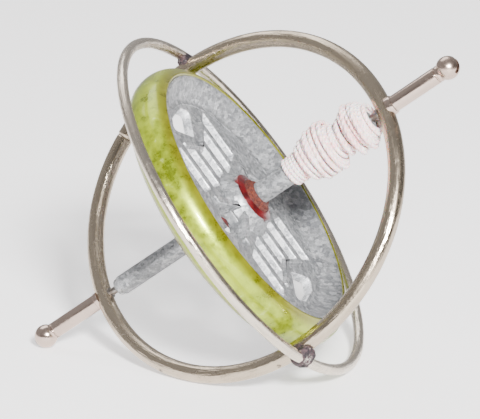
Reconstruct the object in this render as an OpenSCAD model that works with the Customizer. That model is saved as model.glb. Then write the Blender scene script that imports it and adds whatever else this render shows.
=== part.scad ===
// Toy gyroscope: a die-cast flywheel on a shaft that runs between two cup bearings in a pair of
// crossed wire rings. It lies at rest on one ball end and both rings, as in the photograph.
// Everything is drawn in the axle frame, +Z from the plain ball to the slotted ball, +X to the
// upper ring crossing, and is then laid down by rest_pose().

/* [Rings] */
// Diameter of the axle ring, at the middle of its rod
axle_ring_d = 60.5; // [57:0.5:70]
// Diameter of the rod of the axle ring
axle_rod_d = 3; // [2.6:0.1:3.6]
// Diameter of the wire of the belt ring, which lies outside the axle ring
belt_wire_d = 1.9; // [1.4:0.1:2.6]
// Angle of the butt seam of the axle ring, from the slotted ball to the upper crossing
seam_angle = 122; // [100:1:150]
// Width of the groove at the seam
seam_w = 0.3; // [0.1:0.05:0.6]
// Depth of the groove at the seam
seam_depth = 0.2; // [0.05:0.05:0.4]
// Diameter of the drillings through the axle ring for the studs and the bearing cups
ring_bore_d = 2; // [1.8:0.1:2.2]

/* [Brazed joints] */
// Diameter of the braze at the upper crossing
upper_braze_d = 3.8; // [3.6:0.1:4.4]
// Diameter of the larger lump of braze at the lower crossing
lower_braze_d = 5; // [4.4:0.1:5.6]
// Distance from the middle of the belt wire in to the middle of each braze
braze_inset = 0.6; // [0.4:0.05:0.7]
// Width of the braze fillet round the foot of each stud
fillet_w = 0.3; // [0.1:0.05:0.6]
// Height of that fillet above the rod
fillet_h = 0.7; // [0.4:0.1:1.5]

/* [Studs] */
// Distance from the outside of the axle ring to the centre of each ball
ball_off = 11.65; // [8:0.05:16]
// Diameter of the balls
ball_d = 4.1; // [3.6:0.1:5]
// Diameter of the stems between ring and ball
stem_d = 2.9; // [2.4:0.1:3.2]
// Diameter of the groove under each ball
neck_d = 2.3; // [1.8:0.1:2.3]
// Width of that groove
neck_w = 0.35; // [0.2:0.05:0.6]
// Height of the lip between groove and ball
lip_h = 0.45; // [0.2:0.05:0.8]
// Width of the string slot across the slotted ball
slot_w = 0.8; // [0.5:0.1:1.2]
// Depth of the string slot
slot_depth = 1.1; // [0.6:0.1:1.6]
// Diameter of the recess in the tip of the plain ball
recess_d = 1.3; // [0.8:0.1:1.8]
// Depth of that recess
recess_depth = 0.5; // [0.2:0.1:1]

/* [Shaft and bearings] */
// Diameter of the shaft on the slotted side, under the string
upper_shaft_d = 3.8; // [3.4:0.1:4.2]
// Diameter of the shaft on the plain side
lower_shaft_d = 3.5; // [3:0.1:3.8]
// Gap between each end of the shaft and the axle ring
shaft_end_gap = 1.3; // [0.8:0.1:3]
// Diameter of the pivots at the ends of the shaft
pivot_d = 1.3; // [1:0.1:1.4]
// Depth of each pivot in the shaft
pivot_seat = 4; // [2:0.5:8]
// Depth that each pivot runs in its bearing cup
pivot_reach = 1; // [0.7:0.1:1.1]
// Radial running clearance of the pivots in the cups
run_gap = 0.04; // [0.02:0.01:0.08]
// End play at each pivot
end_play = 0.12; // [0.06:0.02:0.3]
// Length of each bearing cup
cup_l = 1.5; // [1.4:0.05:1.5]
// Diameter of the hole through the shaft that holds the inner end of the string
string_hole_d = 1; // [0.9:0.1:1.6]

/* [Flywheel] */
// Clearance between the flywheel and the inside of the axle ring
rim_gap = 1.55; // [1:0.05:3]
// Thickness of the rim ring, from the cast wheel to its crown
rim_t = 2.9; // [2.4:0.1:3.6]
// Width of the flywheel from lip to lip
rim_w = 7.4; // [5:0.1:9]
// Width of the sloping wall of the cast wheel with its lip, from the rim ring to the flat floor
wall_w = 3.1; // [2.4:0.1:3.6]
// Thickness of the web
web_t = 1.7; // [1:0.1:2.4]
// Distance of the middle of the web from the middle of the gyroscope, to the plain side
wheel_shift = 0.85; // [0:0.05:1.5]
// Turn of the pattern about the axle at rest
wheel_turn = 41; // [0:1:90]
// Width of the flat band on top of each lip
lip_w = 0.5; // [0.2:0.1:0.9]

/* [Pattern of the web] */
// Number of slots in each of the two combs
slot_count = 5; // [3:2:5]
// Distance from one slot to the next
slot_pitch = 5.1; // [4.6:0.1:5.2]
// Width of the slots
slot_cut_w = 3; // [2:0.1:3.2]
// Distance from the axle to the inner end of the middle slot
slot_inner = 5; // [4.8:0.1:6]
// Rise of the inner ends, for each millimetre away from the middle slot
inner_slope = 0.16; // [0:0.02:0.3]
// Distance from the axle to the outer end of the middle slot
slot_outer = 11.3; // [10:0.1:11.6]
// Rise of the outer ends, for each millimetre away from the middle slot
outer_slope = 0.38; // [0.1:0.02:0.42]
// Distance from the axle to the inner corner of each three-cornered opening
tri_inner = 14.4; // [13.6:0.1:15]
// Distance from the outer edge of each three-cornered opening to the sloping wall
tri_margin = 2; // [1.4:0.1:3]
// Half width of each three-cornered opening
tri_half_w = 5.8; // [4:0.1:6]
// Half width of the straight part of its outer edge
tri_flat = 3.2; // [2:0.1:3.6]
// Distance of its outer corners inside that edge
tri_corner = 1.4; // [0.8:0.1:2]
// Distance from the axle to the inner edge of each kite-shaped opening
kite_inner = 6.8; // [6.8:0.1:7.4]
// Distance from the axle to the outer corner of each kite-shaped opening
kite_outer = 15.2; // [13:0.1:16]
// Half width of the inner edge of the kites
kite_foot = 1.1; // [0.6:0.1:1.6]
// Half width of the kites at their widest
kite_half_w = 3.6; // [2.6:0.1:3.7]
// Distance from the axle to where the kites are widest
kite_wide_at = 10.4; // [9.6:0.1:11.2]
// Height of the raised ribs above the web
rib_h = 0.5; // [0.2:0.1:0.8]
// Width of the raised ribs
rib_w = 0.9; // [0.5:0.1:1.1]
// Length of each arm of the ribs, measured across the three-cornered opening
rib_reach = 6.8; // [5:0.1:8]
// Distance from each side of the kites to the rib beside it
kite_rib_gap = 0.1; // [0.05:0.05:0.4]
// Width of those ribs, measured across the kites
kite_rib_w = 1.6; // [0.6:0.1:1.8]
// Length of those ribs inwards of the kites, into the boss
kite_rib_root = 1.6; // [1.5:0.1:1.7]
// Height of those ribs above the web at the boss, on the slotted side
kite_rib_rise = 1.5; // [0.8:0.1:1.6]

/* [Hub] */
// Diameter of the foot of the boss
hub_foot_d = 12.6; // [12:0.1:12.7]
// Width of the flat ledge round the foot of the boss, where the slots end
hub_ledge = 0.2; // [0.15:0.05:0.2]
// Width of the lip of the boss round the bush
hub_lip = 0.25; // [0.2:0.05:0.5]
// Height of the boss above the web, on the slotted side
hub_h = 2.4; // [2:0.1:2.6]
// Distance from the axle to where that side of the boss slopes down to the slots, at 45 degrees
hub_shoulder = 3.7; // [3.5:0.1:4.2]
// Height of the boss above the web, on the plain side
rear_hub_h = 0.5; // [0.4:0.1:1]
// Diameter of the lacquered bush in the hub
bush_d = 9.2; // [8.6:0.1:9.4]
// Height of the edge of the bush above the boss, on the slotted side
bush_proud = 0.1; // [0.05:0.05:0.5]
// Height of the bush above the boss, on the plain side
rear_bush_proud = 0.9; // [0.4:0.1:1.5]
// Width of the bevelled edge of the bush
bush_edge = 0.2; // [0.1:0.05:0.4]
// Rise of the bush from its edge to the washer, on the slotted side
bush_crown = 0.45; // [0.2:0.05:0.8]
// Diameter of the fibre washer in each face of the bush
washer_d = 6.4; // [5.6:0.1:7.2]
// Depth that the washers are let into the bush
washer_t = 0.5; // [0.3:0.1:0.8]
// Height of the tapered part of the front washer, above the bush
washer_cone_h = 0.9; // [0.4:0.1:1.4]
// Diameter of the front washer where it meets the shaft
washer_top_d = 4.6; // [4.4:0.1:5.2]

/* [String] */
// Diameter of the string
string_d = 0.7; // [0.5:0.05:0.75]
// Number of turns in the outer layer
string_turns = 15; // [8:1:15]
// Distance from the middle of the gyroscope to the string hole and the first turn
string_start = 10.3; // [9:0.1:11]
// Length of the winding along the shaft, between the middles of its first and last turns
string_l = 17; // [16.8:0.1:17.6]
// Thickness of the winding at its thinnest, outside the shaft
string_thin = 0.85; // [0.8:0.05:1.2]
// Further thickness of the larger swelling of the winding
big_swell = 1.55; // [0:0.05:1.6]
// Distance from the middle of the gyroscope to the top of the larger swelling
big_swell_at = 16.6; // [15:0.1:18]
// Half length of the larger swelling
big_swell_l = 4.4; // [3.5:0.1:5]
// Further thickness of the smaller swelling, near the ring
small_swell = 0.9; // [0:0.05:1]
// Distance from the middle of the gyroscope to the top of the smaller swelling
small_swell_at = 25; // [24:0.1:26]
// Half length of the smaller swelling
small_swell_l = 2.8; // [2:0.1:3]
// Radius of the bend of the string out of its hole
string_bend = 0.45; // [0.3:0.05:0.5]
// Gap between the outer layer of string and the winding under it
layer_gap = 0.06; // [0.03:0.01:0.1]

/* [Fits] */
// Film of braze or press fit between pieces that don't move on each other
seat_gap = 0.02; // [0.01:0.01:0.04]

/* [Hidden] */

$fn = 96;
small = 0.01;
over = 1;
ring_r = axle_ring_d / 2;
rod_r = axle_rod_d / 2;
wire_r = belt_wire_d / 2;
ring_inner = ring_r - rod_r;
ring_outer = ring_r + rod_r;
ball_reach = ring_outer + ball_off;
belt_r = ring_outer + seat_gap + wire_r;

// Rest pose: the plain ball, the axle ring and the belt ring all touch the plane Z = 0.
// sin_tilt solves (reach * sin - (ball_r - wire_r))^2 = belt_r^2 * (1 - sin^2).
drop = ball_d / 2 - wire_r;
reach2 = ball_reach * ball_reach;
belt2 = belt_r * belt_r;
sin_tilt = (ball_reach * -drop + sqrt(reach2 * drop * drop - (reach2 + belt2) * (drop * drop - belt2)))
    / (reach2 + belt2);
tilt = asin(sin_tilt);
rest_h = ball_reach * sin_tilt + ball_d / 2;
flat_y = sqrt(1 - pow((rest_h - rod_r) / ring_r, 2));
flat_x = sqrt(1 - sin_tilt * sin_tilt - flat_y * flat_y);
roll = atan2(flat_x, flat_y);

rim_r = ring_inner - rim_gap;
lip_r = rim_r - rim_t;
floor_r = lip_r - wall_w;
tri_outer = floor_r - tri_margin;
half_w = rim_w / 2;
shaft_end = ring_inner - shaft_end_gap;
cup_face = ring_inner + cup_l;
pivot_tip = ring_inner + pivot_reach;
pivot_point = pivot_d / 2;
bush_end = web_t / 2 + hub_h + bush_proud;
crown_end = bush_end + bush_crown;
rear_end = web_t / 2 + rear_hub_h + rear_bush_proud;
hub_d = bush_d + 2 * hub_lip;
kite_rib_start = kite_inner - kite_rib_root;
core_start = string_start + string_d / 2 + layer_gap;
core_end = string_start + string_l + string_d / 2;
core_rings = 48;
loop_rings = 24;
half_loop = loop_rings / 2;
wind_sides = 6;
hole_steps = 3;
rim_steps = 24;

// Height and width of the outer end of a slot edge at a distance y from the middle slot
function outer_at(y) = slot_outer + outer_slope * abs(y);
function inner_at(y) = slot_inner + inner_slope * abs(y);
// A smooth swelling, 1 at its middle and 0 beyond its half length
function swell(z, at, half_l) = abs(z - at) < half_l ? pow(cos(90 * (z - at) / half_l), 2) : 0;
// Outer radius of the string winding at the height z
function wound_r(z) = upper_shaft_d / 2 + string_thin + big_swell * swell(z, big_swell_at, big_swell_l)
    + small_swell * swell(z, small_swell_at, small_swell_l);

// Centre line of the outer layer of string, as [x, y, z] for a turn count t
function wound_z(t) = string_start + string_l * t / string_turns;
function wound_point(t) = let (z = wound_z(t), r = wound_r(z) - string_d / 2)
    [r * cos(360 * t), r * sin(360 * t), z];
function unit(v) = v / norm(v);
last_turn = string_turns * loop_rings;
turn_points = [for (i = [0:last_turn]) wound_point(i / loop_rings)];

// The string starts in its hole, one diameter short of the shaft's far side, comes straight out along
// +X and bends into the first turn. At the other end it runs straight on for one diameter.
first_r = wound_r(string_start) - string_d / 2;
bend_from = first_r - string_bend;
hole_from = string_d - upper_shaft_d / 2;
hole_points = [for (i = [0:hole_steps - 1])
    [hole_from + (bend_from - hole_from) * i / hole_steps, 0, string_start]];
bend_points = [for (a = [0:30:90])
    [bend_from + string_bend * sin(a), string_bend * (1 - cos(a)), string_start]];
end_run = unit(turn_points[last_turn] - turn_points[last_turn - 1]) * string_d;
wound_points = concat(hole_points, bend_points, [for (i = [2:last_turn]) turn_points[i]],
    [turn_points[last_turn] + end_run]);

// Least gap of the tube to itself, between points half a turn to a turn and a half apart
last_point = len(wound_points) - 1;
loop_gaps = [for (i = [0:last_point - half_loop], j = [i + half_loop:min(i + 3 * half_loop, last_point)])
    norm(wound_points[j] - wound_points[i]) - string_d];
echo("least gap of the string to itself, mm", min(loop_gaps));
steps = [for (i = [1:last_point]) norm(wound_points[i] - wound_points[i - 1])];
echo("length of the outer layer of string, mm", steps * [for (s = steps) 1]);

// Lays the axle frame down on its three points of contact
module rest_pose() {
    translate([0, 0, rest_h])
        rotate([0, -tilt, 0])
            rotate([roll, 0, 0])
                rotate([90, 0, 90])
                    children();
}

// Turns the flywheel about the axle and shifts it to its place, +Z to the slotted side
module wheel_place() {
    rest_pose()
        rotate([0, 0, wheel_turn])
            translate([0, 0, -wheel_shift])
                children();
}

module torus(ring_radius, section_radius) {
    rotate_extrude()
        translate([ring_radius, 0])
            circle(section_radius);
}

// The rod of the axle ring, in the plane of X and Z, thicker by grow all round
module axle_rod(grow = 0) {
    rotate([90, 0, 0])
        torus(ring_r, rod_r + grow);
}

module belt_wire(grow = 0) {
    torus(belt_r, wire_r + grow);
}

module both_ends() {
    children();
    mirror([0, 0, 1])
        children();
}

module axle_ring() {
    color("silver")
        rest_pose()
            difference() {
                axle_rod();
                both_ends()
                    translate([0, 0, ring_inner - rod_r])
                        cylinder(h = 4 * rod_r, d = ring_bore_d);
                rotate([0, seam_angle, 0])
                    translate([0, 0, ring_r])
                        rotate([0, 90, 0])
                            difference() {
                                cylinder(h = seam_w, r = rod_r + seam_depth, center = true);
                                cylinder(h = 2 * seam_w, r = rod_r - seam_depth, center = true);
                            }
            }
}

module belt_ring() {
    color("silver")
        rest_pose()
            belt_wire();
}

// A lump of braze round the crossing of the two rings on the +X side
module braze(d) {
    difference() {
        translate([belt_r - braze_inset, 0, 0])
            sphere(d = d);
        axle_rod(seat_gap);
        belt_wire(seat_gap);
    }
}

module upper_braze() {
    color("dimgray")
        rest_pose()
            braze(upper_braze_d);
}

module lower_braze() {
    color("dimgray")
        rest_pose()
            mirror([1, 0, 0])
                braze(lower_braze_d);
}

// A stud from the bore of the ring to its ball, along +Z
module stud_body() {
    difference() {
        union() {
            cylinder(h = ball_reach - ball_d / 2 + small, d = stem_d);
            translate([0, 0, ball_reach])
                sphere(d = ball_d);
        }
        axle_rod(seat_gap);
        translate([0, 0, -small])
            cylinder(h = ring_r, d = 2 * stem_d);
        translate([0, 0, ball_reach - ball_d / 2 - lip_h])
            mirror([0, 0, 1])
                difference() {
                    cylinder(h = neck_w, d = 2 * stem_d);
                    cylinder(h = neck_w, d = neck_d);
                }
    }
    translate([0, 0, cup_face + seat_gap])
        cylinder(h = ring_outer + small - cup_face, d = ring_bore_d - 2 * seat_gap);
}

module slotted_stud() {
    color("silver")
        rest_pose()
            difference() {
                stud_body();
                translate([-ball_d, -slot_w / 2, ball_reach + ball_d / 2 - slot_depth])
                    cube([2 * ball_d, slot_w, ball_d]);
            }
}

module plain_stud() {
    color("silver")
        rest_pose()
            mirror([0, 0, 1])
                difference() {
                    stud_body();
                    translate([0, 0, ball_reach + ball_d / 2 - recess_depth])
                        cylinder(h = ball_d, d = recess_d);
                }
}

// Braze round the foot of a stud, along +Z
module stud_fillet() {
    difference() {
        translate([0, 0, ring_r])
            cylinder(h = rod_r + fillet_h, d = stem_d + 2 * fillet_w);
        translate([0, 0, ring_r - rod_r])
            cylinder(h = 4 * rod_r, d = stem_d + 2 * seat_gap);
        axle_rod(seat_gap);
    }
}

module slotted_stud_fillet() {
    color("darkgray")
        rest_pose()
            stud_fillet();
}

module plain_stud_fillet() {
    color("darkgray")
        rest_pose()
            mirror([0, 0, 1])
                stud_fillet();
}

// A bearing cup pressed into the ring from inside, its blind bore open towards the flywheel
module bearing_cup() {
    bore_r = pivot_d / 2 + run_gap;
    difference() {
        translate([0, 0, ring_inner])
            cylinder(h = cup_l, d = ring_bore_d - 2 * seat_gap);
        translate([0, 0, ring_inner - small])
            cylinder(h = pivot_reach - pivot_point + end_play + small, r = bore_r);
        translate([0, 0, pivot_tip - pivot_point + end_play - small])
            cylinder(h = bore_r, r1 = bore_r, r2 = 0);
    }
}

module upper_bearing_cup() {
    color("gray")
        rest_pose()
            bearing_cup();
}

module lower_bearing_cup() {
    color("gray")
        rest_pose()
            mirror([0, 0, 1])
                bearing_cup();
}

// The shaft, thicker on the slotted side, with seats for the pivots and the string hole
module shaft() {
    color("darkgray")
        rest_pose()
            difference() {
                union() {
                    translate([0, 0, -wheel_shift])
                        cylinder(h = shaft_end + wheel_shift, d = upper_shaft_d);
                    translate([0, 0, -shaft_end])
                        cylinder(h = shaft_end, d = lower_shaft_d);
                }
                both_ends()
                    translate([0, 0, shaft_end - pivot_seat])
                        cylinder(h = pivot_seat + small, d = pivot_d + 2 * seat_gap);
                translate([0, 0, string_start])
                    rotate([0, 90, 0])
                        cylinder(h = 2 * upper_shaft_d, d = string_hole_d, center = true);
            }
}

// A steel pivot with a conical point, along +Z
module pivot() {
    translate([0, 0, shaft_end - pivot_seat + seat_gap])
        cylinder(h = pivot_tip - pivot_point - shaft_end + pivot_seat - seat_gap, d = pivot_d);
    translate([0, 0, pivot_tip - pivot_point])
        cylinder(h = pivot_point, d1 = pivot_d, d2 = 0);
}

module upper_pivot() {
    color("gray")
        rest_pose()
            pivot();
}

module lower_pivot() {
    color("gray")
        rest_pose()
            mirror([0, 0, 1])
                pivot();
}

// The bush through the hub, a recess in each face for a washer
module hub_bush() {
    bush_r = bush_d / 2;
    color("firebrick")
        wheel_place()
            difference() {
                rotate_extrude()
                    polygon([[0, -rear_end], [bush_r - bush_edge, -rear_end], [bush_r, bush_edge - rear_end],
                        [bush_r, bush_end - bush_edge], [bush_r - bush_edge, bush_end],
                        [washer_d / 2, crown_end], [0, crown_end]]);
                translate([0, 0, crown_end - washer_t - seat_gap])
                    cylinder(h = washer_t + over, d = washer_d + 2 * seat_gap);
                translate([0, 0, washer_t + seat_gap - rear_end])
                    mirror([0, 0, 1])
                        cylinder(h = washer_t + over, d = washer_d + 2 * seat_gap);
                cylinder(h = 2 * bush_end + over, d = upper_shaft_d + 2 * seat_gap, center = true);
            }
}

// The front fibre washer, let into the bush and tapered up to the shaft
module front_washer() {
    bore_r = upper_shaft_d / 2 + seat_gap;
    bottom = crown_end - washer_t;
    top = crown_end + washer_cone_h;
    color("peru")
        wheel_place()
            rotate_extrude()
                polygon([[bore_r, bottom], [washer_d / 2, bottom], [washer_d / 2, crown_end],
                    [washer_top_d / 2, top], [bore_r, top]]);
}

// The rear fibre washer, level with the face of the bush
module rear_washer() {
    color("peru")
        wheel_place()
            translate([0, 0, -rear_end])
                difference() {
                    cylinder(h = washer_t, d = washer_d);
                    translate([0, 0, -over])
                        cylinder(h = washer_t + 2 * over, d = lower_shaft_d + 2 * seat_gap);
                }
}

// One slot of a comb, its ends cut along the two slopes, centred on y
module slot_outline(y) {
    a = y - slot_cut_w / 2;
    b = y + slot_cut_w / 2;
    polygon([[inner_at(a), a], [outer_at(a), a], [outer_at(y), y], [outer_at(b), b], [inner_at(b), b]]);
}

module tri_outline() {
    polygon([[tri_inner, 0], [tri_outer - tri_corner, -tri_half_w], [tri_outer, -tri_flat],
        [tri_outer, tri_flat], [tri_outer - tri_corner, tri_half_w]]);
}

module kite_outline() {
    polygon([[kite_foot, kite_inner], [kite_half_w, kite_wide_at], [0, kite_outer],
        [-kite_half_w, kite_wide_at], [-kite_foot, kite_inner]]);
}

// The two-sided pattern of openings: a comb of slots with a three-cornered opening beyond it, and a kite
module pattern_outline() {
    last = (slot_count - 1) / 2;
    for (side = [0, 180])
        rotate(side) {
            for (i = [-last:last])
                slot_outline(i * slot_pitch);
            tri_outline();
            kite_outline();
        }
}

// The raised ribs on one face: a chevron round each three-cornered opening
module chevron() {
    inner = slot_outer + rib_w / 2;
    run = outer_slope * rib_reach;
    for (side = [-1, 1])
        polygon([[inner, 0], [inner + rib_w, 0], [inner + rib_w + run, side * rib_reach],
            [inner + run, side * rib_reach]]);
}

// The two raised ribs beside a kite, from the boss to where the kite is widest
module kite_ribs() {
    slope = (kite_half_w - kite_foot) / (kite_wide_at - kite_inner);
    root_x = kite_foot - slope * kite_rib_root + kite_rib_gap;
    end_x = kite_half_w + kite_rib_gap;
    for (side = [-1, 1])
        polygon([[side * root_x, kite_rib_start], [side * end_x, kite_wide_at],
            [side * (end_x + kite_rib_w), kite_wide_at], [side * (root_x + kite_rib_w), kite_rib_start]]);
}

// What stands above the ribs beside the kites on the slotted side: they rise evenly to the boss
module kite_rib_slopes() {
    face = web_t / 2;
    intersection() {
        linear_extrude(face + kite_rib_rise)
            kite_ribs();
        rotate([90, 0, 90])
            linear_extrude(4 * kite_half_w, center = true)
                polygon([[kite_rib_start, face], [kite_wide_at, face], [kite_wide_at, face + rib_h],
                    [kite_rib_start, face + kite_rib_rise]]);
    }
}

// The slotted side of the boss, sloped down towards both combs
module front_boss() {
    face = web_t / 2;
    top = face + hub_h;
    run = hub_h + over;
    difference() {
        translate([0, 0, face - small])
            cylinder(h = hub_h + small, d1 = hub_foot_d, d2 = hub_d);
        for (side = [0, 180])
            rotate([90, 0, side])
                linear_extrude(hub_foot_d, center = true)
                    polygon([[hub_shoulder, top], [hub_shoulder + run, top - run],
                        [hub_shoulder + run, top + over], [hub_shoulder, top + over]]);
    }
}

module wheel_casting() {
    slope_top = lip_r - lip_w;
    color("darkgray")
        wheel_place()
            difference() {
                union() {
                    rotate_extrude()
                        polygon([[0, -web_t / 2], [floor_r, -web_t / 2], [slope_top, -half_w],
                            [lip_r, -half_w], [lip_r, half_w], [slope_top, half_w],
                            [floor_r, web_t / 2], [0, web_t / 2]]);
                    front_boss();
                    translate([0, 0, small - web_t / 2])
                        mirror([0, 0, 1])
                            cylinder(h = rear_hub_h + small, d1 = hub_foot_d, d2 = hub_d);
                    linear_extrude(web_t + 2 * rib_h, center = true)
                        for (side = [0, 180])
                            rotate(side) {
                                chevron();
                                kite_ribs();
                            }
                    for (side = [0, 180])
                        rotate(side)
                            kite_rib_slopes();
                }
                linear_extrude(2 * web_t + 2 * rib_h, center = true)
                    difference() {
                        pattern_outline();
                        circle(d = hub_foot_d + 2 * hub_ledge);
                    }
                cylinder(h = web_t + 2 * hub_h + over, d = bush_d + 2 * seat_gap, center = true);
            }
}

// The lacquered rim, bored to the cast wheel, with an elliptical outer section
module rim_ring() {
    bore_r = lip_r + seat_gap;
    color("yellowgreen")
        wheel_place()
            rotate_extrude()
                polygon([for (i = [0:rim_steps])
                    let (angle = -90 + 180 * i / rim_steps)
                    [bore_r + (rim_r - bore_r) * cos(angle), half_w * sin(angle)]]);
}

// The winding under its outer layer
module string_core() {
    core_l = core_end - core_start;
    under = string_d + layer_gap;
    color("mistyrose")
        rest_pose()
            difference() {
                rotate_extrude()
                    polygon([[0, core_start], [0, core_end],
                        for (i = [core_rings:-1:0])
                            let (z = core_start + core_l * i / core_rings)
                            [wound_r(z) - under, z]]);
                translate([0, 0, core_start - over])
                    cylinder(h = core_l + 2 * over, d = upper_shaft_d + 2 * seat_gap);
            }
}

// A tube along points that never run along Z, every ring square to the path, closed at both ends
module tube(points, d, sides) {
    last = len(points) - 1;
    rings = [for (i = [0:last])
        let (along = unit(points[min(i + 1, last)] - points[max(i - 1, 0)]),
            side = unit(cross(along, [0, 0, 1])),
            top = cross(side, along))
        for (k = [0:sides - 1])
            points[i] + d / 2 * (cos(360 * k / sides) * top + sin(360 * k / sides) * side)];
    walls = [for (i = [0:last - 1], k = [0:sides - 1])
        let (a = i * sides + k, b = i * sides + (k + 1) % sides)
        each [[a, a + sides, b], [b, a + sides, b + sides]]];
    caps = [for (k = [1:sides - 2])
        each [[0, k, k + 1], [last * sides, last * sides + k + 1, last * sides + k]]];
    polyhedron(rings, concat(walls, caps));
}

module string_winding() {
    color("lavenderblush")
        rest_pose()
            tube(wound_points, string_d, wind_sides);
}

axle_ring();
belt_ring();
upper_braze();
lower_braze();
slotted_stud();
plain_stud();
slotted_stud_fillet();
plain_stud_fillet();
upper_bearing_cup();
lower_bearing_cup();
shaft();
upper_pivot();
lower_pivot();
hub_bush();
front_washer();
rear_washer();
wheel_casting();
rim_ring();
string_core();
string_winding();
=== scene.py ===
import math

import bmesh
import bpy
import numpy as np
from mathutils import Matrix, Vector, geometry


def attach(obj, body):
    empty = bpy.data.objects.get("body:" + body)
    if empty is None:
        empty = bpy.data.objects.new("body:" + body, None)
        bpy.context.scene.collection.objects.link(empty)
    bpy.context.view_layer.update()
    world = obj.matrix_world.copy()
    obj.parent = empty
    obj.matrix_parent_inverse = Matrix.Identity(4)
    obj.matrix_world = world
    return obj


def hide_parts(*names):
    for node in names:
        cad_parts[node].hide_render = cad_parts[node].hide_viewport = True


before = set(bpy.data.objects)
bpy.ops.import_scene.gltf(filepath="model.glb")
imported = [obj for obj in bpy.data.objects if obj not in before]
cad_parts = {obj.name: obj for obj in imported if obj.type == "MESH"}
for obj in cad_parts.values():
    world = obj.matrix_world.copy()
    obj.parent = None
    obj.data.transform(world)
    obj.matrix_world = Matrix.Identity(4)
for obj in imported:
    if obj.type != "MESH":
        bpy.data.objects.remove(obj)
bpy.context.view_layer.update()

# ---- The axle ring ----
# A plated steel rod bent into a ring and butted at a seam, which the braze has left a little proud.
# It is drilled at both ends of the axle for a stud from outside and a bearing cup from inside.

# Sizes of pieces are in millimetres. snug is the gap between pieces that fit closely.
MM = 0.001
TURN = 2 * math.pi
ring_r = 30.25
rod_r = 1.5
wire_r = 0.95
ball_reach = 43.4
ball_r = 2.05
snug = 0.02
belt_r = ring_r + rod_r + snug + wire_r
seam_at = math.radians(122)
cup_hole_r = 1.0
hoop_steps = 480
nickel = (0.49, 0.41, 0.315)
nickel_worn = (0.34, 0.275, 0.20)
nickel_pit = (0.08, 0.065, 0.05)

# The gyroscope rests on the drilled ball, the belt ring and the axle ring. For the first two the sine
# of the axle's tilt solves (reach * sin + ball_r - wire_r) ^ 2 = belt_r ^ 2 * (1 - sin ^ 2). For the
# third the sideways direction, square to the axle ring, rises by side_rise, where the ring's lowest
# point, ring_r * sqrt(1 - side_rise ^ 2) under its middle, comes down to the rod's radius.
drop = ball_r - wire_r
reach2 = ball_reach ** 2
belt2 = belt_r ** 2
sin_tilt = (-ball_reach * drop + math.sqrt(reach2 * drop ** 2 - (reach2 + belt2) * (drop ** 2 - belt2))) \
    / (reach2 + belt2)
cos_tilt = math.sqrt(1 - sin_tilt ** 2)
rest_h = ball_reach * sin_tilt + ball_r
side_rise = math.sqrt(1 - ((rest_h - rod_r) / ring_r) ** 2)
roll = math.atan2(math.sqrt(1 - sin_tilt ** 2 - side_rise ** 2), side_rise)
toward_slot = np.array([cos_tilt, 0, sin_tilt])
toward_crossing = np.array([-sin_tilt * math.sin(roll), math.cos(roll), cos_tilt * math.sin(roll)])
toward_side = np.cross(toward_slot, toward_crossing)


def laid_down(local):
    """Points of the axle frame, in millimetres, as points of the part's frame, in metres: x times the
    direction to the upper crossing, plus y times the sideways direction, plus z times the axle's
    direction, plus the height of the middle."""
    axes = np.array([toward_crossing, toward_side, toward_slot])
    return (np.asarray(local, float) @ axes + [0, 0, rest_h]) * MM


def turned(points, degrees):
    """Each point with x and y turned about the axle: x cos - y sin, x sin + y cos."""
    a = math.radians(degrees)
    x, y, z = np.moveaxis(np.asarray(points, float), -1, 0)
    return np.stack([x * math.cos(a) - y * math.sin(a), x * math.sin(a) + y * math.cos(a), z], -1)


def skin(name, grids, finish, sharp=35, uv=None):
    """One object from nets of quads. A net is (points[i, k], shut_i, shut_k): cell (i, k) joins its
    corners i, k to i + 1, k + 1, and a shut direction runs on from its last row to its first. The
    map of a net counts its rows and columns, times uv."""
    corners, faces, marks = [], [], []
    base = 0
    for points, shut_i, shut_k in grids:
        n, m = points.shape[:2]
        i, k = np.meshgrid(np.arange(n if shut_i else n - 1), np.arange(m if shut_k else m - 1),
                           indexing="ij")
        i2, k2 = (i + 1) % n, (k + 1) % m
        faces.append(np.stack([i * m + k, i2 * m + k, i2 * m + k2, i * m + k2], -1).reshape(-1, 4) + base)
        cells = np.stack([np.stack([i + a, k + b], -1) for a, b in ((0, 0), (1, 0), (1, 1), (0, 1))], -2)
        marks.append(cells.reshape(-1, 2).astype(float))
        corners.append(laid_down(points.reshape(-1, 3)))
        base += n * m
    return mesh_of(name, np.concatenate(corners), np.concatenate(faces), finish, sharp,
                   None if uv is None else np.concatenate(marks) * uv)


def mesh_of(name, corners, faces, finish, sharp=35, uv=None, which=None):
    """An object at the origin from corners in metres and faces, all of three corners or all of four.
    Its doubled corners are merged, its normals turned outwards, and its edges sharp where they turn
    by more than the angle. Where there are several finishes, which says the one of each face."""
    mesh = bpy.data.meshes.new(name)
    mesh.from_pydata(corners.tolist(), [], faces.tolist())
    if which is not None:
        mesh.polygons.foreach_set("material_index", which.astype(np.int32))
    if uv is not None:
        mesh.uv_layers.new(name="along").data.foreach_set("uv", uv.astype(np.float32).ravel())
    shape = bmesh.new()
    shape.from_mesh(mesh)
    bmesh.ops.remove_doubles(shape, verts=shape.verts, dist=2e-6)
    bmesh.ops.recalc_face_normals(shape, faces=shape.faces)
    shape.to_mesh(mesh)
    shape.free()
    mesh.shade_smooth()
    mesh.set_sharp_from_angle(angle=math.radians(sharp))
    for one in finish if isinstance(finish, (list, tuple)) else [finish]:
        mesh.materials.append(one)
    piece = bpy.data.objects.new(name, mesh)
    bpy.context.scene.collection.objects.link(piece)
    return piece


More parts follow.
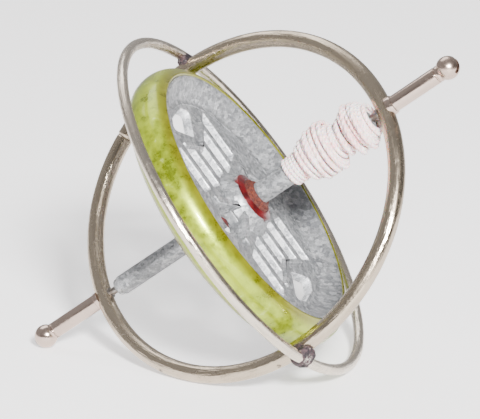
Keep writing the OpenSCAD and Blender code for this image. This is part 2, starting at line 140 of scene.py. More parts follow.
class Value:
    """An output of a node. The operators +, - and * on it add Math nodes, and so does a minus sign."""

    def __init__(self, tree, socket):
        self.tree = tree
        self.socket = socket

    def _with(self, operation, other, swapped=False):
        node = self.tree.nodes.new("ShaderNodeMath")
        node.operation = operation
        first, second = (other, self) if swapped else (self, other)
        for place, value in zip(node.inputs, (first, second)):
            if isinstance(value, Value):
                self.tree.links.new(value.socket, place)
            else:
                place.default_value = value
        return Value(self.tree, node.outputs[0])

    def __add__(self, other):
        return self._with("ADD", other)

    def __radd__(self, other):
        return self._with("ADD", other, True)

    def __sub__(self, other):
        return self._with("SUBTRACT", other)

    def __rsub__(self, other):
        return self._with("SUBTRACT", other, True)

    def __mul__(self, other):
        return self._with("MULTIPLY", other)

    def __rmul__(self, other):
        return self._with("MULTIPLY", other, True)

    def __neg__(self):
        return self._with("MULTIPLY", -1)

    def most(self, other):
        """The greater of the two."""
        return self._with("MAXIMUM", other)


class Finish:
    """A material: a Principled shader with its plain values, and methods that add what varies."""

    def __init__(self, name, **plain):
        self.material = bpy.data.materials.new(name)
        self.material.use_nodes = True
        self.tree = self.material.node_tree
        self.shader = self.tree.nodes["Principled BSDF"]
        for key, value in plain.items():
            self.shader.inputs[key.replace("_", " ")].default_value = value
        self.where = self.node("ShaderNodeTexCoord", out="Object")

    def node(self, kind, out=0, settings=None, **inputs):
        """A node of the kind, its settings first and then its inputs, numbers or links. An input goes by
        its name, or by its place as i0, i1 and so on. Returns the output out."""
        node = self.tree.nodes.new(kind)
        for key, value in (settings or {}).items():
            if key == "stops":
                ramp = node.color_ramp
                while len(ramp.elements) < len(value):
                    ramp.elements.new(0.5)
                for stop, (place, colour) in zip(ramp.elements, value):
                    stop.position = place
                    stop.color = (*colour, 1)
            else:
                setattr(node, key, value)
        for key, value in inputs.items():
            place = node.inputs[int(key[1:])] if key[0] == "i" and key[1:].isdigit() \
                else node.inputs[key.replace("_", " ")]
            if isinstance(value, Value):
                self.tree.links.new(value.socket, place)
            else:
                place.default_value = value
        return Value(self.tree, node.outputs[out])

    def stretch(self, scale, turn=(0, 0, 0), shift=(0, 0, 0)):
        """The object's coordinates, shifted, turned and scaled."""
        return self.node("ShaderNodeMapping", Vector=self.where, Scale=scale, Rotation=turn, Location=shift)

    def noise(self, scale, detail=3, rough=0.55, at=None, twist=0.0):
        """Cloudy noise from 0 to 1, with as many waves to the metre as the scale says."""
        return self.node("ShaderNodeTexNoise", Vector=at or self.where, Scale=scale, Detail=detail,
                         Roughness=rough, Distortion=twist)

    def cells(self, scale, out="Color", at=None):
        """Crystals: a random colour for each cell, or the distance to its middle."""
        return self.node("ShaderNodeTexVoronoi", out=out, Vector=at or self.where, Scale=scale)

    def ramp(self, value, *stops):
        """A colour by the value, along stops of (place, colour)."""
        return self.node("ShaderNodeValToRGB", settings={"stops": stops}, Fac=value)

    def mask(self, value, low, high):
        """0 below low, 1 above high, smooth between them."""
        return self.node("ShaderNodeMapRange", settings={"interpolation_type": "SMOOTHSTEP"}, Value=value,
                         i1=low, i2=high, i3=0.0, i4=1.0)

    def mix(self, share, first, second):
        """A colour between the first and the second by the share."""
        colours = [c if isinstance(c, Value) else (*c, 1) for c in (first, second)]
        return self.node("ShaderNodeMix", out=2, settings={"data_type": "RGBA"},
                         i0=share, i6=colours[0], i7=colours[1])

    def bump(self, height, depth):
        """A normal that rises and falls with the height, whose unit is the depth in metres."""
        return self.node("ShaderNodeBump", Height=height, Distance=depth, Strength=1.0)

    def apart(self, vector):
        """The x, y and z of a vector."""
        node = self.tree.nodes.new("ShaderNodeSeparateXYZ")
        self.tree.links.new(vector.socket, node.inputs[0])
        return [Value(self.tree, s) for s in node.outputs]

    def near(self, point, inner, outer):
        """1 within inner metres of a point in the part's frame, falling to 0 at outer."""
        gap = self.node("ShaderNodeVectorMath", out="Value", settings={"operation": "DISTANCE"},
                        i0=self.where, i1=tuple(float(c) for c in point))
        return 1 - self.mask(gap, inner, outer)

    def use(self, **inputs):
        """Links values to the shader's own inputs and returns the material."""
        for key, value in inputs.items():
            self.tree.links.new(value.socket, self.shader.inputs[key.replace("_", " ")])
        return self.material


def plated(name, marks=(), rough=0.17, warm=nickel, worn=nickel_worn):
    """Nickel plate: a warm bright metal with dull patches, fine scuffs, pits, dark marks at points, and
    lines along the rod where it was drawn."""
    f = Finish(name, Metallic=1.0)
    drawn = f.noise(1, 3, 0.6, at=f.node("ShaderNodeMapping", Scale=(26, 13, 1),
                                         Vector=f.node("ShaderNodeTexCoord", out="UV")))
    lines = f.mask(drawn, 0.38, 0.66)
    patches = f.mask(f.noise(160, 4, 0.6) * 0.5 + drawn * 0.5, 0.42, 0.62)
    scuffs = f.mask(f.noise(1500, 2, 0.5), 0.5, 0.75)
    pits = f.mask(f.noise(900, 3, 0.6, at=f.stretch((1, 1, 1), shift=(0.3, 0.1, 0.7))), 0.70, 0.76)
    for point in marks:
        pits = pits.most(f.near(point, 0.00015, 0.0006) * f.mask(f.noise(2500, 2), 0.35, 0.5))
    colour = f.mix(patches * 0.55, warm, worn)
    colour = f.mix(pits, colour, nickel_pit)
    return f.use(Base_Color=colour, Roughness=rough + patches * 0.14 + scuffs * 0.07 + pits * 0.3,
                 Normal=f.bump(f.noise(260, 3) * 0.4 + lines * 0.5 + scuffs * 0.08 - pits * 0.6, 0.00007))


def on_ring(degrees, side):
    """A point at the outer edge of the axle ring, at an angle from the slotted stud to the crossing, and
    out of the ring's middle plane by side times the rod's radius."""
    a = math.radians(degrees)
    r = ring_r + rod_r
    return laid_down([r * math.sin(a), side * rod_r, r * math.cos(a)])


def rod_section(a):
    """The rod's radius at an angle: its plain radius, less a groove 9% deep at the seam, plus a lip 3%
    high just before it, and less 4.5% beyond it, where the rod was drawn thinner, which dies out
    over 9 mm."""
    off = (a - seam_at) * ring_r
    groove = np.exp(-(off / 0.22) ** 2)
    lip = np.exp(-((off + 0.42) / 0.2) ** 2)
    thin = 1 / (1 + np.exp(-(off + 0.1) * 6)) * np.exp(-np.clip(off, 0, None) / 9)
    return rod_r * (1 - 0.09 * groove + 0.03 * lip - 0.045 * thin)


ring_turns = np.unique(np.concatenate([np.linspace(0, 1, hoop_steps, endpoint=False),
                                       seam_at / TURN + np.linspace(-0.008, 0.008, 41)]))
side_turns = np.linspace(0, TURN, 40, endpoint=False)


def rod_hoop():
    """The axle ring: the rod's section b carried round the angle a, at the radius ring_r + section *
    cos b and the side section * sin b. The angles crowd together at the seam."""
    a = ring_turns[:, None] * TURN
    b = side_turns[None, :]
    out = ring_r + rod_section(a) * np.cos(b)
    return np.stack([out * np.sin(a), rod_section(a) * np.sin(b), out * np.cos(a)], -1)


def cut(piece, name, centre, direction, radius, length):
    """Takes a round hole out of a piece: a cylinder of the radius and length round the centre."""
    bpy.ops.mesh.primitive_cylinder_add(vertices=48, radius=radius * MM, depth=length * MM)
    drill = bpy.context.active_object
    drill.name = name
    drill.location = Vector(laid_down(centre))
    drill.rotation_euler = Vector(direction).to_track_quat("Z", "Y").to_euler()
    take_away(piece, drill)


def take_away(piece, tool):
    """The piece less the tool, which is then deleted."""
    bpy.context.view_layer.update()
    step = piece.modifiers.new("cut", "BOOLEAN")
    step.operation = "DIFFERENCE"
    step.solver = "EXACT"
    step.object = tool
    graph = bpy.context.evaluated_depsgraph_get()
    shaped = bpy.data.meshes.new_from_object(piece.evaluated_get(graph))
    piece.modifiers.remove(step)
    piece.data = shaped
    bpy.data.objects.remove(tool)
    piece.data.shade_smooth()
    piece.data.set_sharp_from_angle(angle=math.radians(35))


axle_ring_finish = plated("worn_nickel_rod",
                          marks=[on_ring(218, 0.5), on_ring(247, -0.6), on_ring(262, 0.3)])
axle_ring_rod = skin("axle_ring_rod", [(rod_hoop(), True, True)], axle_ring_finish,
                     uv=np.array([1 / len(ring_turns), 1 / len(side_turns)]))
for end in (-1, 1):
    cut(axle_ring_rod, "ring_drill", [0, 0, end * ring_r], toward_slot, cup_hole_r, 4 * rod_r)
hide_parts("axle_ring")
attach(axle_ring_rod, "ring_frame")

# ---- The belt ring ----
# A thinner plated wire round the outside of the axle ring, in the plane of the flywheel. It keeps
# fingers off the rim, and is brazed to the axle ring at its two crossings.

wire_nickel = (0.66, 0.585, 0.49)
wire_nickel_worn = (0.46, 0.39, 0.31)
wire_sides = 32

# The wire's round section is carried round the axle, at the radius belt_r + wire_r * cos of its side.
belt_finish = plated("worn_nickel_wire", rough=0.19, warm=wire_nickel, worn=wire_nickel_worn)
wire_turns = np.linspace(0, TURN, hoop_steps, endpoint=False)[:, None]
wire_side = np.linspace(0, TURN, wire_sides, endpoint=False)[None, :]
wire_out = belt_r + wire_r * np.cos(wire_side)
belt_hoop = np.stack([wire_out * np.cos(wire_turns), wire_out * np.sin(wire_turns),
                      wire_r * np.sin(wire_side) + 0 * wire_turns], -1)
belt_wire = skin("belt_wire", [(belt_hoop, True, True)], belt_finish,
                 uv=np.array([1 / hoop_steps, 1 / wire_sides]))
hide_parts("belt_ring")
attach(belt_wire, "ring_frame")

# ---- The brazed crossings ----
# Lumps of braze that the torch has left rough and dark, flecked with bright metal, with a painted highlight
# on top where the metal is also made smoother and more metallic. The lower one is the larger, burnt brown,
# with a crumb of flux in it.

braze_dark = (0.018, 0.015, 0.018)
braze_brown = (0.075, 0.045, 0.05)
braze_speck_and_painted_highlight = (0.62, 0.56, 0.50)
flux_pink = (0.75, 0.30, 0.36)


def lump(radius, squash, seed):
    """A rough ball: radius * (1 + the sum of a few sine waves over the direction), squashed along
    each of its axes."""
    rng = np.random.default_rng(seed)
    a = np.linspace(0, math.pi, 49)[:, None]
    b = np.linspace(0, TURN, 96, endpoint=False)[None, :]
    way = np.stack([np.sin(a) * np.cos(b), np.sin(a) * np.sin(b), np.cos(a) + 0 * b], -1)
    size = np.ones(way.shape[:2])
    for count in (2.5, 5, 9, 15):
        for _ in range(3):
            wave = rng.normal(size=3)
            wave *= count / np.linalg.norm(wave)
            size += 0.11 / count ** 0.8 * np.sin(way @ wave + rng.uniform(0, TURN))
    return way * size[..., None] * radius * np.array(squash)


def burnt(name, painted_highlight_at, fleck_at=None):
    """Rough dark metal with bright metal specks, a painted highlight round a point, and pink at a crumb of
    flux.
    """
    f = Finish(name, Specular_IOR_Level=0.3)
    grain = f.noise(1400, 5, 0.65)
    colour = f.mix(f.mask(grain, 0.4, 0.62), braze_dark, braze_brown)
    # rubbed joins a painted highlight round the given point with random bright metal specks; both are also
    # made more metallic and smoother.
    rubbed = (f.near(painted_highlight_at, 0.0004, 0.0013) * f.mask(f.noise(1800, 3), 0.45, 0.55)).most(
        f.mask(f.noise(2600, 3, 0.7), 0.62, 0.68) * 0.7)
    colour = f.mix(rubbed, colour, braze_speck_and_painted_highlight)
    if fleck_at is not None:
        colour = f.mix(f.near(fleck_at, 0.0001, 0.00055), colour, flux_pink)
    return f.use(Base_Color=colour, Metallic=0.35 + rubbed * 0.6, Roughness=0.62 - rubbed * 0.35,
                 Normal=f.bump(grain + f.noise(3200, 2) * 0.3, 0.0003))


# The first point given to burnt is where the lump's highlight is painted.
upper_lump = skin("upper_braze_lump",
                  [(lump(1.72, (0.92, 1.08, 0.80), 4) + [belt_r - 1.15, 0, 0], False, True)],
                  burnt("upper_burnt_braze", laid_down([belt_r - 0.2, -1.2, 1.4])))
lower_lump = skin("lower_braze_lump",
                  [(lump(2.15, (0.92, 1.02, 1.0), 11) - [belt_r - 1.0, 0, 0], False, True)],
                  burnt("lower_burnt_braze", laid_down([-belt_r - 1.2, 0.6, 1.2]),
                        laid_down([-belt_r + 0.4, -1.2, 1.5])))
for piece, node in ((upper_lump, "upper_braze"), (lower_lump, "lower_braze")):
    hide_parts(node)
    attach(piece, "ring_frame")

# ---- The studs ----
# Turned steel studs, bright nickel plated, riveted into the ring and run round with braze. Each has a
# straight stem, a groove, a lip and a ball. One ball is slotted to ride on a string, the other is
# centre drilled to stand on a pedestal.

stem_r = 1.45
neck_r = 1.27
lip_top = ball_reach - ball_r + 0.35
lip_foot = lip_top - 0.3
neck_foot = lip_foot - 0.24
groove_round = 0.08
lip_round = 0.06
ball_slot_w = 0.8
ball_slot_depth = 1.1
saw_h = 3
stud_nickel = (0.55, 0.43, 0.365)
stud_nickel_worn = (0.42, 0.31, 0.255)


def spin(profile, sides=96):
    """A solid of revolution about the axle: each (radius, height) of the profile is carried round as
    (radius cos, radius sin, height)."""
    r, z = np.asarray(profile, float).T[:, :, None]
    b = np.linspace(0, TURN, sides, endpoint=False)[None, :]
    return np.stack([r * np.cos(b), r * np.sin(b), z + 0 * b], -1)


def arc(r, z, radius, start, end, steps):
    """Points (radius, height) round a centre, from one angle to the other, in degrees."""
    t = np.radians(np.linspace(start, end, steps))
    return np.stack([r + radius * np.cos(t), z + radius * np.sin(t)], -1).tolist()


def stud_profile(foot, tip):
    """The half outline of a stud: a foot flared out to the ring, the stem, the neck and its lip, and
    the ball, to the tip given as points. The ball begins where its circle is as wide as the stem,
    less 0.05."""
    ball_foot_r = stem_r - 0.05
    start = -math.degrees(math.atan2(math.sqrt(ball_r ** 2 - ball_foot_r ** 2), ball_foot_r))
    soft = groove_round
    return ([[0, ring_r], *foot] + arc(stem_r - soft, neck_foot - soft, soft, 0, 90, 5)
            + arc(neck_r + soft, neck_foot + soft, soft, 270, 180, 4)
            + arc(neck_r + soft, lip_foot - soft, soft, 180, 90, 4)
            + arc(stem_r - lip_round, lip_foot + lip_round, lip_round, 270, 360, 4) + [[stem_r, lip_top]]
            + arc(0, ball_reach, ball_r, start, 72, 26) + tip)


bright_nickel = plated("bright_nickel", rough=0.14, warm=stud_nickel, worn=stud_nickel_worn)
flat_tip = ball_reach + ball_r * math.sin(math.radians(76))
slotted = skin("slotted_ball_stud", [(spin(stud_profile(
    [[1.72, ring_r + 0.9], [1.70, ring_r + 1.65], [1.62, ring_r + 1.95], [stem_r, ring_r + 2.05]],
    [[0.50, flat_tip], [0, flat_tip]])), False, True)], bright_nickel)
bpy.ops.mesh.primitive_cube_add(size=1)
saw = bpy.context.active_object
saw_axes = np.array([toward_crossing, toward_side, toward_slot]).T * [3 * ball_r, ball_slot_w, saw_h] * MM
saw_at = laid_down([0, 0, ball_reach + ball_r - ball_slot_depth + saw_h / 2])
saw.matrix_world = Matrix([[*row, place] for row, place in zip(saw_axes, saw_at)] + [[0, 0, 0, 1]])
take_away(slotted, saw)
plain = skin("drilled_ball_stud", [(spin(stud_profile(
    [[1.62, ring_r + 0.9], [1.55, ring_r + 1.62], [stem_r, ring_r + 1.72]],
    [[0.72, flat_tip], [0.62, flat_tip - 0.06], [0.58, flat_tip - 0.45], [0, flat_tip - 0.6]])) * [1, 1, -1],
    False, True)], bright_nickel)
for piece, node in ((slotted, "slotted_stud"), (plain, "plain_stud")):
    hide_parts(node, node + "_fillet")
    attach(piece, "ring_frame")

# ---- The bearings ----
# Hard steel cups pressed into the ring, and the hard points that run in them. Both are turned and
# lightly oiled. The part's own solids stay, and get their finish here.

steel = (0.30, 0.28, 0.26)
steel_oiled = (0.16, 0.13, 0.11)


def dress(node, material):
    """Gives one of the part's own solids its finish."""
    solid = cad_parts[node]
    solid.data.materials.clear()
    solid.data.materials.append(material)


def oiled_steel():
    """Dark turned steel, finely uneven, with a patchy film of oil."""
    f = Finish("oiled_steel", Metallic=1.0)
    film = f.mask(f.noise(1100, 4, 0.6), 0.4, 0.65)
    return f.use(Base_Color=f.mix(film, steel, steel_oiled),
                 Roughness=0.28 + film * 0.2, Normal=f.bump(f.noise(2600, 2), 0.00002))


bearing_steel = oiled_steel()
for node in ("upper_bearing_cup", "lower_bearing_cup", "upper_pivot", "lower_pivot"):
    dress(node, bearing_steel)

# ---- The shaft ----
# Die-cast in zinc, bare and grey with the frosted grain of the casting. Its ends are turned down in a
# small step and a rounded nib from which the hard points stand out.

upper_shaft_r = 1.9
lower_shaft_r = 1.75
shaft_end = ring_r - rod_r - 1.3
pivot_r = 0.66
zinc_light = (0.33, 0.335, 0.342)
zinc_mid = (0.22, 0.224, 0.230)
zinc_dark = (0.10, 0.105, 0.113)
zinc_peak = (0.60, 0.605, 0.62)
# The colour of a painted dark reflection on the wheel's inner wall.
zinc_painted_reflection = (0.035, 0.042, 0.055)


def cast_zinc(name, grain, shine, dark, light=1.0, painted_reflections=()):
    """Bare zinc: frosted crystals in several greys, a fine uneven bump and dull stains over them, with a
    painted dark blue-grey reflection round each of the given points."""
    f = Finish(name)
    crystal = f.apart(f.cells(grain, at=f.stretch((1, 1, 1.25))))[0]
    fine = f.noise(grain * 2.2, 4, 0.65)
    stain = f.mask(f.noise(grain * 0.16, 4, 0.6), 0.42, 0.62)
    tone = crystal * 0.22 + fine * 0.40 + f.noise(grain * 5, 3, 0.7) * 0.38
    # A light above 1 paints the greys brighter, as a lit copy of the zinc.
    greys = [tuple(min(c * light, 0.95) for c in grey)
             for grey in (zinc_dark, zinc_mid, zinc_light, zinc_peak)]
    colour = f.ramp(tone, *zip((0.34, 0.45, 0.56, 0.70), greys))
    colour = f.mix(stain * dark, colour, zinc_dark)
    for point in painted_reflections:
        # dull is a painted dark reflection round each point, grainy at its edge.
        dull = f.near(point, 0.0008, 0.0046) * f.mask(fine + stain * 0.2, 0.25, 0.6)
        colour = f.mix(dull * 0.34, colour, zinc_painted_reflection)
    return f.use(Base_Color=colour, Metallic=0.55 - stain * 0.15,
                 Roughness=shine + fine * 0.18 + stain * 0.12,
                 Normal=f.bump(tone + f.noise(grain * 0.5, 3) * 0.8, 0.00002))


shaft_zinc = cast_zinc("frosted_zinc_shaft", 1700, shine=0.34, dark=0.3)
shaft_profile = ([[pivot_r, shaft_end]] + arc(1.25, shaft_end - 0.35, 0.35, 90, 0, 5)
                 + arc(upper_shaft_r - 0.2, shaft_end - 1.0, 0.2, 90, 0, 5)
                 + [[upper_shaft_r, z] for z in np.linspace(shaft_end - 2, 0, 14)]
                 + [[lower_shaft_r, -0.4]]
                 + [[lower_shaft_r, z] for z in np.linspace(-2, 1.4 - shaft_end, 14)]
                 + arc(lower_shaft_r - 0.18, 1.1 - shaft_end, 0.18, 0, -90, 5)
                 + arc(1.05, 0.45 - shaft_end, 0.45, 0, -90, 6) + [[pivot_r, -shaft_end]])
shaft_body = skin("cast_shaft", [(spin(shaft_profile, 72), True, True)], shaft_zinc)
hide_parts("shaft")
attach(shaft_body, "flywheel")

# ---- The cast wheel ----
# One zinc casting: a sloping wall round a flat web, which is opened by two combs of slots, two
# three-cornered holes and two kites, with raised ribs round the three-cornered holes and a boss at
# the hub. All its edges are rounded, and the walls of the openings lean for the mould.

wheel_turn = 41
wheel_shift = 0.85
web_t = 1.7
half_w = 3.7
lip_r = 24.3
floor_r = 21.2
slot_pitch = 5.1
slot_cut = 3.0
bush_r = 4.6
boss_foot = 6.3
boss_edge_r = boss_foot - 0.15
web_edge_r = floor_r - 0.5
boss_top = bush_r + 0.25
boss_h = 2.4
boss_shoulder = 3.7
rear_boss_h = 0.5
rib_h = 0.5
rib_rise = 1.5
kite_rib_start = 5.2
kite_wide_at = 10.4
comb_start = 5
comb_clear_r = 6.5
comb_end = 11.3
comb_lean = 0.38
fillet_r = 0.9
bead_r = 20.3
spin_sides = 240


def on_wheel(points):
    """Points of the wheel's own frame in the axle frame: turned about the axle and shifted along it."""
    return turned(points, wheel_turn) - [0, 0, wheel_shift]


def rounded(outline, radius, steps=5):
    """A closed outline with each corner replaced by an arc of the radius, tangent to both its edges.
    The arc's centre lies on the bisector, radius / sin(half angle) from the corner."""
    corner = np.asarray(outline, float)
    before = np.roll(corner, 1, 0) - corner
    after = np.roll(corner, -1, 0) - corner
    before /= np.linalg.norm(before, axis=1)[:, None]
    after /= np.linalg.norm(after, axis=1)[:, None]
    half = np.arccos(np.clip((before * after).sum(1), -1, 1)) / 2
    middle = corner + (before + after) / np.linalg.norm(before + after, axis=1)[:, None] \
        * (radius / np.sin(half))[:, None]
    first = corner + before * (radius / np.tan(half))[:, None] - middle
    last = corner + after * (radius / np.tan(half))[:, None] - middle
    sweep = np.arctan2(first[:, 0] * last[:, 1] - first[:, 1] * last[:, 0], (first * last).sum(1))
    a = sweep[:, None] * np.linspace(0, 1, steps)[None, :]
    x = middle[:, :1] + first[:, :1] * np.cos(a) - first[:, 1:] * np.sin(a)
    y = middle[:, 1:] + first[:, :1] * np.sin(a) + first[:, 1:] * np.cos(a)
    return np.stack([x, y], -1).reshape(-1, 2)


def grown(loop, by):
    """A closed loop, anticlockwise, moved outwards: each point goes along the sum of the normals of
    its two edges, scaled so that each edge moves by the distance."""
    edge = np.roll(loop, -1, 0) - loop
    normal = np.stack([edge[:, 1], -edge[:, 0]], -1) / np.linalg.norm(edge, axis=1)[:, None]
    both = normal + np.roll(normal, 1, 0)
    return loop + both * (2 * by / (both ** 2).sum(1))[:, None]


def wall(loop, profile):
    """A strip round a loop: for each (grown, height) of the profile the grown loop at that height."""
    return np.stack([np.concatenate([grown(loop, g), np.full((len(loop), 1), z)], 1) for g, z in profile])


def within(points, loop):
    """Whether each point lies in a closed loop: a ray along x crosses its edges an odd number of times."""
    x, y = points[:, 0, None], points[:, 1, None]
    (x1, y1), (x2, y2) = loop.T, np.roll(loop, -1, 0).T
    hit = ((y1 > y) != (y2 > y)) & (x < (x2 - x1) * (y - y1) / (y2 - y1 + 1e-12) + x1)
    return hit.sum(1) % 2 == 1


def sheet_between(outer, holes, height):
    """Triangles of the flat face inside the outer loop and outside the holes, at the height."""
    loops = [outer, *holes]
    points = np.concatenate(loops)
    edges, base = [], 0
    for loop in loops:
        edges += [(base + i, base + (i + 1) % len(loop)) for i in range(len(loop))]
        base += len(loop)
    verts, _, faces, *_ = geometry.delaunay_2d_cdt([Vector(p) for p in points], edges, [], 0, 1e-6)
    flat = np.array([tuple(v) for v in verts])
    faces = np.array([tuple(f) for f in faces if len(f) == 3])
    middle = flat[faces].mean(1)
    keep = within(middle, outer)
    for hole in holes:
        keep &= ~within(middle, hole)
    return np.concatenate([flat, np.full((len(flat), 1), height)], 1), faces[keep]


def slot_loop(y):
    """A slot of the comb, at a distance y from its middle. Its ends lean by the same slopes on both
    sides of the middle slot, whose own ends are bent and keep clear of the boss."""
    a, b = y - slot_cut / 2, y + slot_cut / 2

    def inner(t):
        clear = math.sqrt(max(comb_clear_r ** 2 - t ** 2, 0)) if abs(t) < 3 else 0
        return max(comb_start + 0.16 * abs(t), clear)

    def outer(t):
        return comb_end + comb_lean * abs(t)

    bends = ([[outer(y), y]], [[inner(y), y]]) if y == 0 else ([], [])
    return np.array([[inner(a), a], [outer(a), a], *bends[0], [outer(b), b], [inner(b), b], *bends[1]])


def turned_flat(loop, degrees):
    """A flat loop, turned about the axle."""
    return turned(np.concatenate([loop, np.zeros((len(loop), 1))], 1), degrees)[:, :2]


# Each half of the web has five slots, a three-cornered hole and, as the last, a kite.
tri_loop = np.array([[14.4, 0], [17.8, -5.8], [19.2, -3.2], [19.2, 3.2], [17.8, 5.8]])
kite_loop = np.array([[1.1, 6.8], [3.6, kite_wide_at], [0, 15.2], [-3.6, kite_wide_at], [-1.1, 6.8]])
half_web = [rounded(slot_loop(i * slot_pitch), 0.3) for i in range(-2, 3)]
half_web += [rounded(tri_loop, 0.55), rounded(kite_loop, 0.5)]
openings = [turned_flat(loop, side) for side in (0, 180) for loop in half_web]

half_t = web_t / 2
edge_round = 0.22
draft = 0.10
# The wall of an opening, as (how far the loop is grown, height): round edges and a lean both ways.
opening_wall = [(edge_round, half_t), (edge_round * 0.45, half_t - 0.03), (edge_round * 0.12, half_t - 0.10),
                (0, half_t - edge_round), (-draft, 0), (0, edge_round - half_t),
                (edge_round * 0.12, 0.10 - half_t), (edge_round * 0.45, 0.03 - half_t), (edge_round, -half_t)]
circle = np.linspace(0, TURN, spin_sides, endpoint=False)
floor_loop = np.stack([np.cos(circle), np.sin(circle)], -1) * web_edge_r
boss_loop = np.stack([np.cos(circle), np.sin(circle)], -1) * boss_edge_r


def wheel_face(z):
    """The flat of the web on one side, between the boss, the openings and the wall."""
    return sheet_between(floor_loop, [boss_loop] + [grown(o, edge_round) for o in openings], z)


def chevron_loop(side):
    """A raised rib in a V, its arms running along the outer ends of the slots."""
    reach, inner, w = 6.8, comb_end + 0.45, 0.9
    run = comb_lean * reach
    v = [[inner, 0], [inner + run, -reach], [inner + run + w, -reach], [inner + w, 0],
         [inner + run + w, reach], [inner + run, reach]]
    return turned_flat(rounded(v, 0.12, 4), side)


def kite_rib_loop(side, hand):
    """A raised rib beside a kite, from the boss to where the kite is widest."""
    x1, x2, w = 0.1, 3.7, 1.6
    v = np.array([[x1, kite_rib_start], [x1 + w, kite_rib_start],
                  [x2 + w, kite_wide_at], [x2, kite_wide_at]])
    if hand < 0:
        v = v[::-1] * [-1, 1]
    return turned_flat(rounded(v, 0.12, 4), side)


# The sides of the ribs, in the same way, with heights above the web.
rib_wall = [(0.28, -0.02), (0.14, 0.05), (0.05, 0.16), (0, 0.3), (-0.06, 0.42), (-0.16, rib_h)]
kite_rib_wall = [(0.06, -0.14), (0.02, 0.05), (0, 0.2), (-0.02, 0.36), (-0.08, 0.46),
                 (-0.18, rib_h)]


def risen(points):
    """The kites' ribs on the slotted side: heights above the web grow in proportion towards the boss, so
    that the top is rib_h high where a kite is widest and rib_rise where the rib starts."""
    share = (kite_wide_at - np.abs(points[..., 1:2])) / (kite_wide_at - kite_rib_start)
    high = points[..., 2:] - half_t
    grown_high = np.where(high > 0, high * (1 + share * (rib_rise / rib_h - 1)), high)
    return np.concatenate([points[..., :2], half_t + grown_high], -1)


def boss_net():
    """The boss on both sides and its bore. On the slotted side it slopes down at 45 degrees from the
    shoulder, towards both combs."""
    def half(h, steps):
        return ([[boss_edge_r, half_t]] + arc(boss_foot + 0.06, half_t + 0.2, 0.2, -120, -165, 4)
                + [[boss_foot + (boss_top - boss_foot) * t, half_t + h * t]
                   for t in np.linspace(0.12, 0.92, steps)]
                + arc(boss_top - 0.1, half_t + h - 0.1, 0.1, 15, 90, 4) + [[bush_r + snug, half_t + h]])

    net = spin(half(boss_h, 22) + [[r, -z] for r, z in half(rear_boss_h, 4)[::-1]], spin_sides)
    slope = half_t + boss_h - (np.abs(net[..., 0]) - boss_shoulder).clip(0)
    net[..., 2] = np.minimum(net[..., 2], slope.clip(half_t + 0.02))
    return net


def wheel_parts():
    """The corners, the triangles and each triangle's finish of the whole casting: the spun wall and
    boss, the two flats, the walls of the openings and the ribs. Finish 1 is the same zinc painted
    brighter and cleaner, as painted light on the walls of the slots and of the three-cornered holes."""
    corners, faces, which = [], [], []
    base = 0

    def add(points, triangles, kind=0):
        nonlocal base
        corners.append(laid_down(on_wheel(points)))
        faces.append(np.asarray(triangles) + base)
        which.append(np.full(len(triangles), kind))
        base += len(points)

    def add_net(net, kind=0):
        n, m = net.shape[:2]
        i, k = np.meshgrid(np.arange(n - 1), np.arange(m), indexing="ij")
        k2 = (k + 1) % m
        a, b, c, d = i * m + k, (i + 1) * m + k, (i + 1) * m + k2, i * m + k2
        add(net.reshape(-1, 3), np.concatenate([np.stack([a, b, c], -1).reshape(-1, 3),
                                                np.stack([a, c, d], -1).reshape(-1, 3)]), kind)

    slope = (arc(web_edge_r, half_t + fillet_r, fillet_r, -90, -42, 6)
             + [[lip_r - 0.55, half_w - 0.05], [lip_r - 0.42, half_w], [lip_r, half_w]])
    add_net(spin(slope + [[r, -z] for r, z in slope[::-1]], spin_sides))
    for z in (half_t, -half_t):
        add(*wheel_face(z))
    for n, loop in enumerate(openings):
        is_kite = n % len(half_web) == len(half_web) - 1
        add_net(wall(loop, opening_wall), 0 if is_kite else 1)
    bead = [[bead_r + out, half_t + up]
            for out, up in ((-0.22, -0.02), (-0.1, 0.08), (0.1, 0.08), (0.22, -0.02))]
    for face in (1, -1):
        add_net(spin(np.array(bead) * [1, face], spin_sides))
    add_net(boss_net())
    for face in (1, -1):
        for side in (0, 180):
            for loop, profile, lift in ((chevron_loop(side), rib_wall, False),
                                        (kite_rib_loop(side, 1), kite_rib_wall, face > 0),
                                        (kite_rib_loop(side, -1), kite_rib_wall, face > 0)):
                net = wall(loop, [(g, face * (half_t + z)) for g, z in profile])
                top, triangles = sheet_between(grown(loop, profile[-1][0]), [],
                                               face * (half_t + rib_h))
                add_net(risen(net) if lift else net)
                add(risen(top) if lift else top, triangles)
    return np.concatenate(corners), np.concatenate(faces), np.concatenate(which)


# Points on the wheel's inner wall, beside the shaft, round which a dark reflection is painted.
painted_reflection_r, painted_reflection_h = 22.8, 2.2
painted_reflection_points = [laid_down(on_wheel([painted_reflection_r * math.cos(a), painted_reflection_r * math.sin(a), painted_reflection_h]))
               for a in np.radians([244, 253, 262])]
wheel_zinc = cast_zinc("frosted_zinc_wheel", 1500, shine=0.30, dark=0.35, painted_reflections=painted_reflection_points)
# The same zinc painted 2.3 times brighter and nearly without stains: painted light for the walls of the slots
# and three-cornered holes.
painted_lit_zinc = cast_zinc("painted_lit_zinc", 1500, shine=0.30, dark=0.05, light=2.3)
wheel_corners, wheel_faces, wheel_which = wheel_parts()
wheel_body = mesh_of("cast_wheel", wheel_corners, wheel_faces, [wheel_zinc, painted_lit_zinc], sharp=38,
                     which=wheel_which)
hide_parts("wheel_casting")
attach(wheel_body, "flywheel")

# ---- The rim ----
# The heavy outside of the wheel, under a transparent yellow-green lacquer with metal showing through.
# The lacquer has run thick and olive along the inner edges, and is thin over the crown.

rim_r = 27.2
rim_bore = lip_r + snug
lime = (0.16, 0.21, 0.001)
lime_pale = (0.30, 0.38, 0.008)
olive = (0.17, 0.155, 0.0005)
lime_bare = (0.50, 0.60, 0.22)


